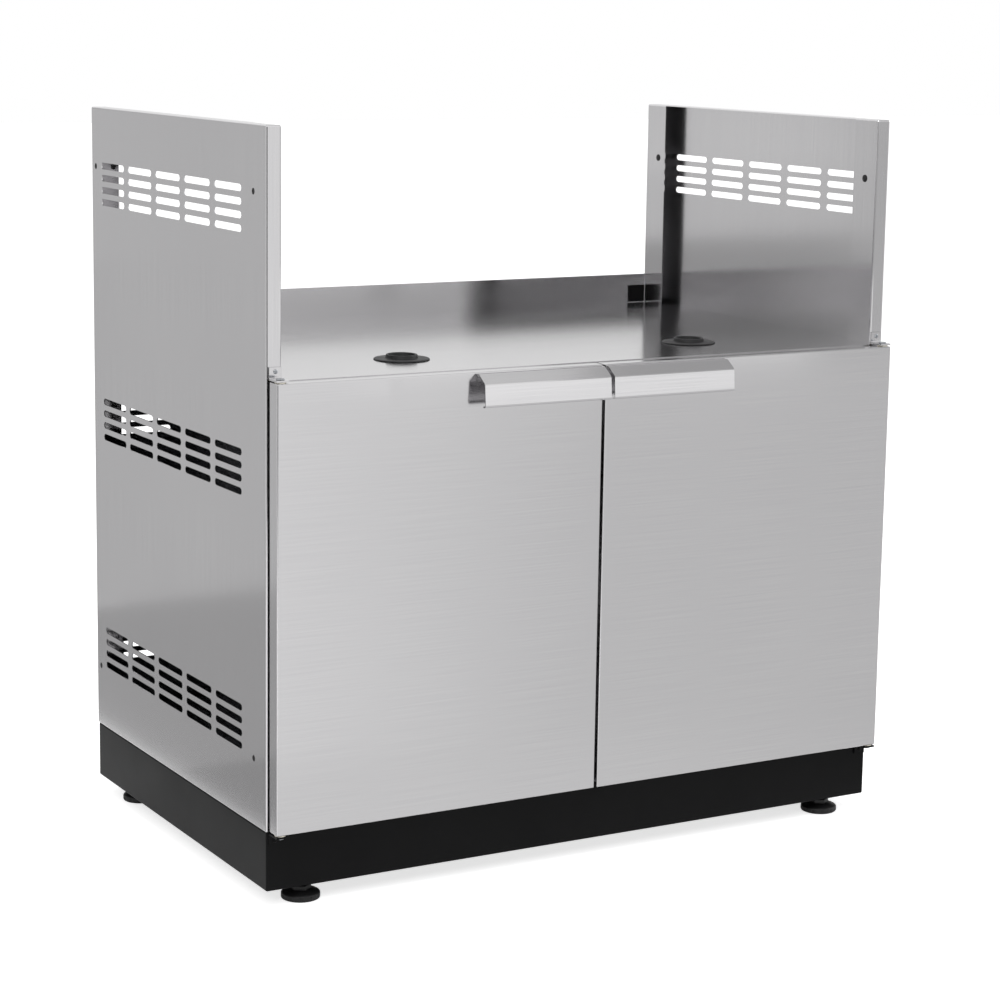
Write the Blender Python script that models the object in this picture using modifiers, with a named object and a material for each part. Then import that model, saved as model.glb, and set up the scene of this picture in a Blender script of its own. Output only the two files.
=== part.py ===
# Stainless outdoor kitchen island with a bay for a drop-in grill.
#
# Two folded side panels stand on a black plinth and rise past the deck as towers.
# A folded deck between them carries the grill, and two boxed doors close the front.
# Metres, +Z up, the front faces -Y, and the feet stand on z = 0.

import math

import bmesh
import bpy
from mathutils import Vector

# Driving dimensions
CABINET_WIDTH = 0.890
CARCASS_DEPTH = 0.550
FOOT_HEIGHT = 0.022
PLINTH_HEIGHT = 0.0735
LOWER_HEIGHT = 0.542
TOWER_HEIGHT = 0.293

# Sheet and fits
SHEET = 0.0012
BEND_RADIUS = 0.002
BEND_STEPS = 3
FIT_GAP = 0.0003
RUNNING_GAP = 0.0001
CUT_OVERRUN = 0.004
MERGE_DISTANCE = 0.000002
SHARP_ANGLE = math.radians(40)

# Side panels
FLANGE_WIDTH = 0.0195
LIP_DEPTH = 0.048
SLOT_LENGTH = 0.079
SLOT_HEIGHT = 0.0086
SLOT_SPACING = 0.0918
ROW_SPACING = 0.0158
SLOT_COLUMNS = 5
SLOT_ROWS = 4
SLOT_END_STEPS = 4
LEFT_VENT_SETBACK = 0.0688
RIGHT_VENT_SETBACK = 0.0517
FIRST_VENT_DROP = 0.071
VENT_GROUP_SPACING = 0.3115
VENT_GROUPS = 3
JOINING_HOLE_RADIUS = 0.004
JOINING_HOLE_STEPS = 10
JOINING_HOLE_SETBACK = 0.035
JOINING_HOLE_REAR_SETBACK = 0.015
JOINING_HOLE_DROP = 0.077
JOINING_HOLE_RISE = 0.083
LIP_HOLE_SETBACK = 0.024
LIP_HOLE_REAR_SETBACK = 0.031

# Deck
DECK_FLANGE = 0.025
NOSE_REACH = 0.0035
NOSE_HEIGHT = 0.006
NOSE_END = 0.0015
UPSTAND_HEIGHT = 0.042
PASS_WIDTH = 0.0225
PASS_HEIGHT = 0.0215
PASS_RISE = 0.002
PASS_FROM_END = 0.0035
PLUG_RIM = 0.0025
PLUG_RIM_THICKNESS = 0.0015

# Gas hose grommets in the deck
GROMMET_FROM_SIDE = 0.233
GROMMET_SETBACK = 0.109
GROMMET_RADIUS = 0.035
GROMMET_NECK_RADIUS = 0.0235
GROMMET_BORE_RADIUS = 0.0165
GROMMET_FLANGE = 0.0016
GROMMET_COLLAR_RADIUS = 0.0197
GROMMET_COLLAR_HEIGHT = 0.0062
GROMMET_LOWER_FLANGE = 0.009
GROMMET_LOWER_RADIUS = 0.027
GROMMET_EDGE = 0.001
GROMMET_STEPS = 24

# Rails and braces under the deck
HEADER_HEIGHT = 0.042
HEADER_DEPTH = 0.024
CLEAT_LEG = 0.024
CLEAT_SHELF = 0.016
CLEAT_SHORTFALL = 0.004
BRACE_WIDTH = 0.035
BRACE_HEIGHT = 0.020
FRONT_BRACE_SETBACK = 0.200
REAR_BRACE_SETBACK = 0.380

# Floor and back
FLOOR_RISE = 0.0225
BACK_DEPTH = 0.015
BACK_SLOT_MARGIN = 0.010

# Plinth
PLINTH_INSET = 0.001
PLINTH_SHEET = 0.0015
PLINTH_BEND = 0.002
FRONT_FLANGE = 0.052
REAR_FLANGE = 0.095
SIDE_FLANGE = 0.045

# Levelling feet
FRONT_FOOT_INSET = 0.057
REAR_FOOT_INSET = 0.035
FRONT_FOOT_SETBACK = 0.0245
REAR_FOOT_SETBACK = 0.067
PAD_RADIUS = 0.024
PAD_RIM = 0.008
PAD_CHAMFER = 0.0015
PAD_CROWN_RADIUS = 0.013
PAD_HEIGHT = 0.017
PAD_STEPS = 20
STUD_RADIUS = 0.005
STUD_SEAT = 0.005
STUD_LENGTH = 0.060
STUD_CHAMFER = 0.001
STUD_STEPS = 12
FOOT_PLATE_SIZE = 0.040
FOOT_PLATE_THICKNESS = 0.003
BOSS_RADIUS = 0.009
BOSS_HEIGHT = 0.013

# Doors
DOOR_INSET = 0.003
DOOR_SPLIT = 0.004
DOOR_GAP = 0.004
DOOR_THICKNESS = 0.020
DOOR_DROP = 0.001
DOOR_RISE = 0.0014
DOOR_SHEET = 0.001
DOOR_BEND = 0.0015
LINER_FLANGE = 0.0055

# Door handles
HANDLE_LENGTH = 0.177
HANDLE_FROM_SPLIT = 0.0005
HANDLE_SHEET = 0.0015
HANDLE_TAB = 0.018
HANDLE_REACH = 0.022
HANDLE_DROP = 0.013
HANDLE_FACE = 0.028
HANDLE_HEM = 0.005
HANDLE_LEAN = 0.002
HANDLE_BEND = 0.0022

# Pivot hinges
PIVOT_FROM_EDGE = 0.008
PIVOT_FROM_BACK = 0.012
PIN_RADIUS = 0.003
PIN_REACH = 0.010
PIN_HEAD_RADIUS = 0.005
PIN_HEAD_HEIGHT = 0.0014
PIN_CHAMFER = 0.0006
BUSH_RADIUS = 0.0055
BUSH_LENGTH = 0.012
COLLAR_RADIUS = 0.0068
COLLAR_HEIGHT = 0.0012
LEAF_THICKNESS = 0.002
LEAF_WIDTH = 0.016
LEAF_UPRIGHT = 0.014
LEAF_BEND = 0.002
LEAF_PAST_PIVOT = 0.007
TURNED_STEPS = 20

# Catches and bumpers
CATCH_LENGTH = 0.046
CATCH_HEIGHT = 0.014
CATCH_DEPTH = 0.018
CATCH_FROM_CENTRE = 0.053
CATCH_PROUD = 0.0021
CATCH_EDGE = 0.001
STRIKE_LENGTH = 0.036
STRIKE_HEIGHT = 0.010
STRIKE_THICKNESS = 0.001
BUMPER_RADIUS = 0.005
BUMPER_FROM_SIDE = 0.115
TOP_BUMPER_DROP = 0.014
BOTTOM_BUMPER_RISE = 0.012
BUMPER_EDGE = 0.0006
BUMPER_STEPS = 12

# Places worked out from the sizes above
OVERALL_DEPTH = CARCASS_DEPTH + DOOR_GAP + DOOR_THICKNESS + HANDLE_REACH
REAR = OVERALL_DEPTH / 2
FRONT = REAR - CARCASS_DEPTH
HALF_WIDTH = CABINET_WIDTH / 2
PLINTH_TOP = FOOT_HEIGHT + PLINTH_HEIGHT
CARCASS_BOTTOM = PLINTH_TOP + FIT_GAP
DECK_TOP = CARCASS_BOTTOM + LOWER_HEIGHT
TOWER_TOP = DECK_TOP + TOWER_HEIGHT
BETWEEN_FLANGES = HALF_WIDTH - FLANGE_WIDTH - FIT_GAP
BETWEEN_SHEETS = HALF_WIDTH - SHEET - FIT_GAP
DOOR_BACK = FRONT - DOOR_GAP
DOOR_FRONT = DOOR_BACK - DOOR_THICKNESS
DOOR_TOP = DECK_TOP - DOOR_DROP
DOOR_BOTTOM = CARCASS_BOTTOM + DOOR_RISE
DOOR_OUTER = HALF_WIDTH - DOOR_INSET
DOOR_INNER = DOOR_SPLIT / 2
PIVOT_X = DOOR_OUTER - PIVOT_FROM_EDGE
PIVOT_Y = DOOR_BACK - PIVOT_FROM_BACK
BORE_RADIUS = PIN_RADIUS + RUNNING_GAP
COLLAR_SPACE = COLLAR_HEIGHT + FIT_GAP + FIT_GAP
CATCH_TOP = DECK_TOP - SHEET - FIT_GAP - HEADER_HEIGHT - FIT_GAP

LEFT, RIGHT = -1, 1
SIDE_NAMES = {LEFT: "left", RIGHT: "right"}


def clear_scene():
    for obj in list(bpy.data.objects):
        bpy.data.objects.remove(obj, do_unlink=True)


def make_collection(name):
    collection = bpy.data.collections.new(name)
    bpy.context.scene.collection.children.link(collection)
    return collection


def make_material(name, colour, roughness, metallic):
    material = bpy.data.materials.new(name)
    material.use_nodes = True
    shader = material.node_tree.nodes["Principled BSDF"]
    shader.inputs["Base Color"].default_value = (*colour, 1)
    shader.inputs["Roughness"].default_value = roughness
    shader.inputs["Metallic"].default_value = metallic
    material.diffuse_color = (*colour, 1)
    return material


def finished(name, work, centre, material):
    """Turns a worked shape into a piece, or into a cutter when it has no material."""
    bmesh.ops.recalc_face_normals(work, faces=work.faces)
    mesh = bpy.data.meshes.new(name)
    work.to_mesh(mesh)
    work.free()
    obj = bpy.data.objects.new(name, mesh)
    obj.location = centre
    if material is None:
        cutters.objects.link(obj)
        obj.hide_render = True
        obj.display_type = "WIRE"
    else:
        parts.objects.link(obj)
        mesh.materials.append(material)
    return obj


def smooth_round_faces(work):
    """Shades smooth, with a crease wherever two faces meet at more than the sharp angle."""
    for face in work.faces:
        face.smooth = True
    for edge in work.edges:
        edge.smooth = edge.calc_face_angle(0) < SHARP_ANGLE


def box(name, low, high, material=None):
    """A block between two opposite corners."""
    low, high = Vector(low), Vector(high)
    work = bmesh.new()
    bmesh.ops.create_cube(work, size=1)
    bmesh.ops.scale(work, vec=high - low, verts=work.verts)
    return finished(name, work, (low + high) / 2, material)


def pan(name, low, high, sheet, bend, material):
    """A boxed pan, open at the rear and rounded where its sheet is bent."""
    low, high = Vector(low), Vector(high)
    work = bmesh.new()
    bmesh.ops.create_cube(work, size=1)
    bmesh.ops.scale(work, vec=high - low, verts=work.verts)
    bent = [edge for edge in work.edges if min(vertex.co.y for vertex in edge.verts) < 0]
    bmesh.ops.bevel(
        work, geom=bent, offset=bend, segments=BEND_STEPS, profile=0.5, affect="EDGES"
    )
    piece = finished(name, work, (low + high) / 2, material)
    wall = Vector((sheet, sheet, sheet))
    inner_low, inner_high = low + wall, high - wall
    inner_high.y = high.y + CUT_OVERRUN
    cut(piece, box(name + "_hollow", inner_low, inner_high))
    return piece


def prism(name, rings, material=None):
    """A solid between pairs of matching rings of points, one pair for each separate lump."""
    work = bmesh.new()
    for first_ring, second_ring in rings:
        first = [work.verts.new(point) for point in first_ring]
        second = [work.verts.new(point) for point in second_ring]
        work.faces.new(first)
        work.faces.new(second)
        for index in range(len(first)):
            following = (index + 1) % len(first)
            side = (first[index], first[following], second[following], second[index])
            work.faces.new(side)
    return finished(name, work, (0, 0, 0), material)


def plate(name, outline, low, high, material=None):
    """A flat outline in x and y, as thick as low to high."""
    rings = [([(x, y, low) for x, y in outline], [(x, y, high) for x, y in outline])]
    return prism(name, rings, material)


def turned(name, profile, centre, steps, material):
    """A profile of radius and height, listed down its outer side, turned about z."""
    work = bmesh.new()
    points = [work.verts.new((radius, 0, height)) for radius, height in profile]
    pairs = list(zip(points, points[1:]))
    if profile[0][0] > 0:
        pairs.append((points[-1], points[0]))
    edges = [work.edges.new(pair) for pair in pairs]
    bmesh.ops.spin(
        work,
        geom=points + edges,
        cent=(0, 0, 0),
        axis=(0, 0, 1),
        angle=2 * math.pi,
        steps=steps,
        use_merge=True,
    )
    bmesh.ops.remove_doubles(work, verts=work.verts, dist=MERGE_DISTANCE)
    smooth_round_faces(work)
    return finished(name, work, centre, material)


def rod(name, centre, radius, depth, axis, steps, material=None):
    """A plain cylinder about a centre, along an axis."""
    work = bmesh.new()
    bmesh.ops.create_cone(
        work, cap_ends=True, segments=steps, radius1=radius, radius2=radius, depth=depth
    )
    turn = Vector((0, 0, 1)).rotation_difference(Vector(axis)).to_matrix()
    bmesh.ops.rotate(work, cent=(0, 0, 0), matrix=turn, verts=work.verts)
    return finished(name, work, centre, material)


def eased(path, radius):
    """The path with each corner replaced by a short arc of the given radius."""
    spine = [Vector(path[0])]
    for before, corner, after in zip(path, path[1:], path[2:]):
        before, corner, after = Vector(before), Vector(corner), Vector(after)
        arriving = (corner - before).normalized()
        leaving = (after - corner).normalized()
        reach = radius * math.tan(arriving.angle(leaving) / 2)
        start, end = corner - arriving * reach, corner + leaving * reach
        centre = corner + (leaving - arriving).normalized() * math.hypot(reach, radius)
        spine.append(start)
        spine.append(centre + ((start + end) / 2 - centre).normalized() * radius)
        spine.append(end)
    spine.append(Vector(path[-1]))
    return spine


def folded(name, path, sheet, bend, x_low, x_high, material):
    """A strip of sheet whose middle follows a path in y and z, between two x."""
    spine = eased(path, bend)
    legs = [(after - before).normalized() for before, after in zip(spine, spine[1:])]
    offsets = []
    for index in range(len(spine)):
        arriving = legs[max(index - 1, 0)]
        leaving = legs[min(index, len(legs) - 1)]
        along = (arriving + leaving).normalized()
        across = Vector((-along.y, along.x))
        offsets.append(across * (sheet / 2) / along.dot(leaving))
    work = bmesh.new()
    rows = []
    for x in (x_low, x_high):
        for sign in (-1, 1):
            row = []
            for point, offset in zip(spine, offsets):
                y, z = point + offset * sign
                row.append(work.verts.new((x, y, z)))
            rows.append(row)
    near_under, near_over, far_under, far_over = rows
    for first, second in (
        (near_under, near_over),
        (far_under, far_over),
        (near_under, far_under),
        (near_over, far_over),
    ):
        for index in range(len(spine) - 1):
            following = index + 1
            work.faces.new((first[index], first[following], second[following], second[index]))
    for index in (0, len(spine) - 1):
        end = (near_under[index], near_over[index], far_over[index], far_under[index])
        work.faces.new(end)
    bmesh.ops.recalc_face_normals(work, faces=work.faces)
    smooth_round_faces(work)
    return finished(name, work, (0, 0, 0), material)


def round_edges(obj, radius):
    bevel = obj.modifiers.new("bend", "BEVEL")
    bevel.width = radius
    bevel.segments = BEND_STEPS
    bevel.limit_method = "ANGLE"


def cut(obj, cutter):
    boolean = obj.modifiers.new("cut", "BOOLEAN")
    boolean.operation = "DIFFERENCE"
    boolean.object = cutter


def join(obj, other):
    boolean = obj.modifiers.new("join", "BOOLEAN")
    boolean.operation = "UNION"
    boolean.object = other


def outwards(side, inner, outer):
    """Lowest and highest x of a piece between two distances from the middle."""
    return tuple(sorted((side * inner, side * outer)))


def slot_outline():
    """An obround centred on the origin, its long way along the first axis."""
    radius = SLOT_HEIGHT / 2
    reach = SLOT_LENGTH / 2 - radius
    points = []
    for end in (1, -1):
        for step in range(SLOT_END_STEPS + 1):
            turn = math.pi * (step / SLOT_END_STEPS - 1 / 2)
            points.append((end * (reach + radius * math.cos(turn)), end * radius * math.sin(turn)))
    return points


def slot_cutter(name, places, depth, along):
    """One cutter with a slot at each place; along is the axis that the slots run."""
    rings = []
    for x, y, z in places:
        pair = []
        for end in (-depth / 2, depth / 2):
            if along == "y":
                pair.append([(x + end, y + first, z + second) for first, second in slot_outline()])
            else:
                pair.append([(x + first, y + end, z + second) for first, second in slot_outline()])
        rings.append(pair)
    return prism(name, rings)


def channel(name, low, high, sheet, open_face, open_ends, material):
    """A folded channel: a block hollowed from one face, through the ends that are named.

    open_face is a sign and an axis, such as "+y"; open_ends lists axes, such as "x".
    """
    low, high = Vector(low), Vector(high)
    piece = box(name, low, high, material)
    wall = Vector((sheet, sheet, sheet))
    inner_low, inner_high = low + wall, high - wall
    index = "xyz".index(open_face[1])
    if open_face[0] == "+":
        inner_high[index] = high[index] + CUT_OVERRUN
    else:
        inner_low[index] = low[index] - CUT_OVERRUN
    for letter in open_ends:
        index = "xyz".index(letter)
        inner_low[index] = low[index] - CUT_OVERRUN
        inner_high[index] = high[index] + CUT_OVERRUN
    cut(piece, box(name + "_hollow", inner_low, inner_high))
    return piece


def vent_group_tops():
    return [TOWER_TOP - FIRST_VENT_DROP - VENT_GROUP_SPACING * group for group in range(VENT_GROUPS)]


def row_heights(group_top):
    return [group_top - SLOT_HEIGHT / 2 - ROW_SPACING * row for row in range(SLOT_ROWS)]


def side_panel(side, vent_setback):
    """A pan folded inwards, with return lips front and rear, vents and joining holes."""
    name = SIDE_NAMES[side] + "_side_panel"
    inner_face = HALF_WIDTH - FLANGE_WIDTH
    x_low, x_high = outwards(side, inner_face, HALF_WIDTH)
    panel = box(name, (x_low, FRONT, CARCASS_BOTTOM), (x_high, REAR, TOWER_TOP), brushed)
    round_edges(panel, BEND_RADIUS)

    z_low, z_high = CARCASS_BOTTOM + SHEET, TOWER_TOP - SHEET
    x_low, x_high = outwards(side, inner_face + SHEET, HALF_WIDTH - SHEET)
    low, high = (x_low, FRONT + SHEET, z_low), (x_high, REAR - SHEET, z_high)
    cut(panel, box(name + "_pocket", low, high))
    x_low, x_high = outwards(side, inner_face - CUT_OVERRUN, inner_face + SHEET + CUT_OVERRUN)
    low, high = (x_low, FRONT + LIP_DEPTH, z_low), (x_high, REAR - LIP_DEPTH, z_high)
    cut(panel, box(name + "_window", low, high))

    sheet_middle = side * (HALF_WIDTH - SHEET / 2)
    lip_middle = side * (inner_face + SHEET / 2)
    depth = SHEET + CUT_OVERRUN
    places = []
    for top in vent_group_tops():
        for column in range(SLOT_COLUMNS):
            y = FRONT + vent_setback + SLOT_LENGTH / 2 + SLOT_SPACING * column
            places += [(sheet_middle, y, z) for z in row_heights(top)]
    cut(panel, slot_cutter(name + "_vents", places, depth, "y"))

    for z in (TOWER_TOP - JOINING_HOLE_DROP, CARCASS_BOTTOM + JOINING_HOLE_RISE):
        for x, y in (
            (sheet_middle, FRONT + JOINING_HOLE_SETBACK),
            (sheet_middle, REAR - JOINING_HOLE_REAR_SETBACK),
            (lip_middle, FRONT + LIP_HOLE_SETBACK),
            (lip_middle, REAR - LIP_HOLE_REAR_SETBACK),
        ):
            axis = (1, 0, 0)
            place = (x, y, z)
            hole = rod(name + "_hole", place, JOINING_HOLE_RADIUS, depth, axis, JOINING_HOLE_STEPS)
            cut(panel, hole)
    return panel


def tray_outline(front, rear, lip_front, lip_rear, narrow, wide):
    """A plate that is narrow between the panels' flanges and wide between their lips."""
    half = [
        (narrow, front),
        (narrow, lip_front),
        (wide, lip_front),
        (wide, lip_rear),
        (narrow, lip_rear),
        (narrow, rear),
    ]
    return half + [(-x, y) for x, y in reversed(half)]


def tray_outlines(rear):
    """Outer and inner outline of a folded tray between the side panels."""
    lip_front = FRONT + LIP_DEPTH + FIT_GAP
    lip_rear = REAR - LIP_DEPTH - FIT_GAP
    outer = tray_outline(FRONT, rear, lip_front, lip_rear, BETWEEN_FLANGES, BETWEEN_SHEETS)
    inner = tray_outline(
        FRONT + SHEET,
        rear - SHEET,
        lip_front + SHEET,
        lip_rear - SHEET,
        BETWEEN_FLANGES - SHEET,
        BETWEEN_SHEETS - SHEET,
    )
    return outer, inner


def grommet_place(side):
    return side * (HALF_WIDTH - GROMMET_FROM_SIDE), FRONT + GROMMET_SETBACK


def pass_span(inset):
    """Edges in x and z of the pass-through in the upstand, drawn in by an inset."""
    x_high = BETWEEN_FLANGES - PASS_FROM_END
    z_low = DECK_TOP + PASS_RISE
    x_low, z_high = x_high - PASS_WIDTH, z_low + PASS_HEIGHT
    return x_low + inset, x_high - inset, z_low + inset, z_high - inset


def grill_deck():
    """Deck tray: a drip nose along its front edge, an upstand folded along its rear edge."""
    name = "grill_deck"
    outer, inner = tray_outlines(REAR)
    bottom = DECK_TOP - DECK_FLANGE
    deck = plate(name, outer, bottom, DECK_TOP, brushed)
    upstand_front = REAR - SHEET - SHEET
    low = (-BETWEEN_FLANGES, upstand_front, DECK_TOP - SHEET)
    high = (BETWEEN_FLANGES, REAR, DECK_TOP + UPSTAND_HEIGHT)
    join(deck, box(name + "_upstand", low, high))
    cut(deck, plate(name + "_hollow", inner, bottom - CUT_OVERRUN, DECK_TOP - SHEET))
    half_nose = BETWEEN_FLANGES - NOSE_END
    low = (-half_nose, FRONT - NOSE_REACH, DECK_TOP - NOSE_HEIGHT)
    join(deck, box(name + "_nose", low, (half_nose, FRONT + SHEET / 2, DECK_TOP)))

    x_low, x_high, z_low, z_high = pass_span(0)
    low, high = (x_low, upstand_front - CUT_OVERRUN, z_low), (x_high, REAR + CUT_OVERRUN, z_high)
    cut(deck, box(name + "_pass", low, high))
    for side in (LEFT, RIGHT):
        place = (*grommet_place(side), DECK_TOP)
        radius = GROMMET_NECK_RADIUS + FIT_GAP
        hole = rod(name + "_hose_hole", place, radius, CUT_OVERRUN * 2, (0, 0, 1), GROMMET_STEPS)
        cut(deck, hole)
    return deck


def cord_pass_plug():
    """Rubber plug in the upstand's pass-through: a rim in front and a body behind it."""
    rim_back = REAR - SHEET - SHEET - FIT_GAP
    rim_front = rim_back - PLUG_RIM_THICKNESS
    x_low, x_high, z_low, z_high = pass_span(FIT_GAP)
    body_front = (rim_front + rim_back) / 2
    name = "cord_pass_plug"
    plug = box(name, (x_low, body_front, z_low), (x_high, REAR - FIT_GAP, z_high), rubber)
    low = (x_low - PLUG_RIM, rim_front, z_low - PASS_RISE / 2)
    high = (x_high + PLUG_RIM, rim_back, z_high + PLUG_RIM)
    join(plug, box(name + "_rim", low, high))
    return plug


def hose_grommet(side):
    """Bushing with a wide brim and a raised collar, grooved for the deck's sheet."""
    above, below = DECK_TOP + FIT_GAP, DECK_TOP - SHEET - FIT_GAP
    brim, bottom = above + GROMMET_FLANGE, below - GROMMET_LOWER_FLANGE
    top = above + GROMMET_COLLAR_HEIGHT
    profile = [
        (GROMMET_BORE_RADIUS, top),
        (GROMMET_COLLAR_RADIUS - GROMMET_EDGE, top),
        (GROMMET_COLLAR_RADIUS, top - GROMMET_EDGE),
        (GROMMET_COLLAR_RADIUS + GROMMET_EDGE, brim),
        (GROMMET_RADIUS - GROMMET_EDGE, brim),
        (GROMMET_RADIUS, above),
        (GROMMET_NECK_RADIUS, above),
        (GROMMET_NECK_RADIUS, below),
        (GROMMET_LOWER_RADIUS, below),
        (GROMMET_LOWER_RADIUS - GROMMET_EDGE, bottom),
        (GROMMET_BORE_RADIUS, bottom),
    ]
    name = SIDE_NAMES[side] + "_hose_grommet"
    return turned(name, profile, (*grommet_place(side), 0), GROMMET_STEPS, rubber)


def header_rail():
    """Channel behind the deck's front flange, which carries the catches."""
    reach = BETWEEN_FLANGES - SHEET - FIT_GAP
    top = DECK_TOP - SHEET - FIT_GAP
    face = FRONT + SHEET + FIT_GAP
    low, high = (-reach, face, top - HEADER_HEIGHT), (reach, face + HEADER_DEPTH, top)
    return channel("header_rail", low, high, SHEET, "+y", "x", inner_steel)


def deck_cleat(side):
    """Angle on the side panel's sheet, whose shelf carries the deck's side flange."""
    name = SIDE_NAMES[side] + "_deck_cleat"
    top = DECK_TOP - DECK_FLANGE - FIT_GAP
    y_low = FRONT + LIP_DEPTH + CLEAT_SHORTFALL
    y_high = REAR - LIP_DEPTH - CLEAT_SHORTFALL
    inner = BETWEEN_SHEETS - CLEAT_SHELF
    x_low, x_high = outwards(side, inner, BETWEEN_SHEETS)
    cleat = box(name, (x_low, y_low, top - CLEAT_LEG), (x_high, y_high, top), inner_steel)
    x_low, x_high = outwards(side, inner - CUT_OVERRUN, BETWEEN_SHEETS - SHEET)
    low = (x_low, y_low - CUT_OVERRUN, top - CLEAT_LEG - CUT_OVERRUN)
    cut(cleat, box(name + "_corner", low, (x_high, y_high + CUT_OVERRUN, top - SHEET)))
    return cleat


def deck_brace(name, setback):
    """Channel under the deck that takes the grill's weight across to the side flanges."""
    reach = BETWEEN_SHEETS - SHEET - FIT_GAP
    top = DECK_TOP - SHEET - FIT_GAP
    middle = FRONT + setback
    low = (-reach, middle - BRACE_WIDTH / 2, top - BRACE_HEIGHT)
    high = (reach, middle + BRACE_WIDTH / 2, top)
    return channel(name, low, high, SHEET, "-z", "x", inner_steel)


def floor_panel():
    """Cabinet floor: a tray that stands on the side panels' bottom flanges."""
    name = "floor_panel"
    outer, inner = tray_outlines(REAR - BACK_DEPTH - FIT_GAP)
    bottom = CARCASS_BOTTOM + SHEET + FIT_GAP
    top = CARCASS_BOTTOM + FLOOR_RISE
    floor = plate(name, outer, bottom, top, inner_steel)
    cut(floor, plate(name + "_hollow", inner, bottom - CUT_OVERRUN, top - SHEET))
    return floor


def back_panel():
    """Pan that closes the rear below the deck, with vents beside each side panel."""
    name = "back_panel"
    low = (-BETWEEN_FLANGES, REAR - BACK_DEPTH, CARCASS_BOTTOM)
    high = (BETWEEN_FLANGES, REAR, DECK_TOP - DECK_FLANGE - FIT_GAP)
    panel = channel(name, low, high, SHEET, "-y", "", inner_steel)
    x = BETWEEN_FLANGES - BACK_SLOT_MARGIN - SLOT_LENGTH / 2
    places = []
    for group_top in vent_group_tops()[1:]:
        for z in row_heights(group_top):
            places += [(side * x, REAR - SHEET / 2, z) for side in (LEFT, RIGHT)]
    cut(panel, slot_cutter(name + "_vents", places, SHEET + CUT_OVERRUN, "x"))
    return panel


def foot_places(end):
    """Name, x and y of the two feet at the front or the rear."""
    x, y = HALF_WIDTH - FRONT_FOOT_INSET, FRONT + FRONT_FOOT_SETBACK
    if end == "rear":
        x, y = HALF_WIDTH - REAR_FOOT_INSET, REAR - REAR_FOOT_SETBACK
    return [(end + "_" + SIDE_NAMES[side], side * x, y) for side in (LEFT, RIGHT)]


def plinth():
    """Welded base frame: one face all round, with flanges folded inwards above and below."""
    half = HALF_WIDTH - PLINTH_INSET
    front, rear = FRONT + PLINTH_INSET, REAR - PLINTH_INSET
    name = "plinth"
    frame = box(name, (-half, front, FOOT_HEIGHT), (half, rear, PLINTH_TOP), plinth_black)
    round_edges(frame, PLINTH_BEND)
    wall = PLINTH_SHEET
    low = (-half + wall, front + wall, FOOT_HEIGHT + wall)
    cut(frame, box(name + "_hollow", low, (half - wall, rear - wall, PLINTH_TOP - wall)))
    reach = half - SIDE_FLANGE
    low = (-reach, front + FRONT_FLANGE, FOOT_HEIGHT - CUT_OVERRUN)
    high = (reach, rear - REAR_FLANGE, PLINTH_TOP + CUT_OVERRUN)
    cut(frame, box(name + "_window", low, high))
    radius = STUD_RADIUS + FIT_GAP + FIT_GAP
    for end in ("front", "rear"):
        for _, x, y in foot_places(end):
            place = (x, y, FOOT_HEIGHT)
            hole = rod(name + "_hole", place, radius, CUT_OVERRUN * 2, (0, 0, 1), STUD_STEPS)
            cut(frame, hole)
    return frame


def foot_plate(name, x, y):
    """Plate inside the plinth with a boss that the stud turns in."""
    bottom = FOOT_HEIGHT + PLINTH_SHEET + FIT_GAP
    top = bottom + FOOT_PLATE_THICKNESS
    half = FOOT_PLATE_SIZE / 2
    piece = box(name, (x - half, y - half, bottom), (x + half, y + half, top), zinc)
    up = (0, 0, 1)
    middle = top + (BOSS_HEIGHT - FOOT_PLATE_THICKNESS / 2) / 2
    height = BOSS_HEIGHT + FOOT_PLATE_THICKNESS / 2
    join(piece, rod(name + "_boss", (x, y, middle), BOSS_RADIUS, height, up, STUD_STEPS))
    bore = height * 2
    cut(piece, rod(name + "_bore", (x, y, middle), STUD_RADIUS + FIT_GAP, bore, up, STUD_STEPS))
    return piece


def foot_pad(name, x, y):
    """Moulded pad with a socket for the stud."""
    socket_floor = STUD_SEAT - FIT_GAP
    socket_radius = STUD_RADIUS + FIT_GAP
    profile = [
        (0, socket_floor),
        (socket_radius, socket_floor),
        (socket_radius, PAD_HEIGHT),
        (PAD_CROWN_RADIUS, PAD_HEIGHT),
        (PAD_RADIUS, PAD_RIM),
        (PAD_RADIUS, PAD_CHAMFER),
        (PAD_RADIUS - PAD_CHAMFER, 0),
        (0, 0),
    ]
    return turned(name, profile, (x, y, 0), PAD_STEPS, black_plastic)


def foot_stud(name, x, y):
    top = STUD_SEAT + STUD_LENGTH
    profile = [
        (0, top),
        (STUD_RADIUS - STUD_CHAMFER, top),
        (STUD_RADIUS, top - STUD_CHAMFER),
        (STUD_RADIUS, STUD_SEAT),
        (0, STUD_SEAT),
    ]
    return turned(name, profile, (x, y, 0), STUD_STEPS, zinc)


def levelling_feet():
    for end in ("front", "rear"):
        for corner, x, y in foot_places(end):
            foot_plate(corner + "_foot_plate", x, y)
            foot_pad(corner + "_foot_pad", x, y)
            foot_stud(corner + "_foot_stud", x, y)


def hinge_leaf(name, side, back, foot_height, leaf_height, material):
    """Angle bracket: an upright leaf fixed to the cabinet and a flat one under the pin."""
    middle = back - FIT_GAP - LEAF_THICKNESS / 2
    path = [(middle, foot_height), (middle, leaf_height), (PIVOT_Y - LEAF_PAST_PIVOT, leaf_height)]
    x_low, x_high = outwards(side, PIVOT_X - LEAF_WIDTH / 2, PIVOT_X + LEAF_WIDTH / 2)
    leaf = folded(name, path, LEAF_THICKNESS, LEAF_BEND, x_low, x_high, material)
    place = (side * PIVOT_X, PIVOT_Y, leaf_height)
    hole = rod(name + "_hole", place, BORE_RADIUS, LEAF_THICKNESS * 2, (0, 0, 1), TURNED_STEPS)
    cut(leaf, hole)
    return leaf


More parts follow.
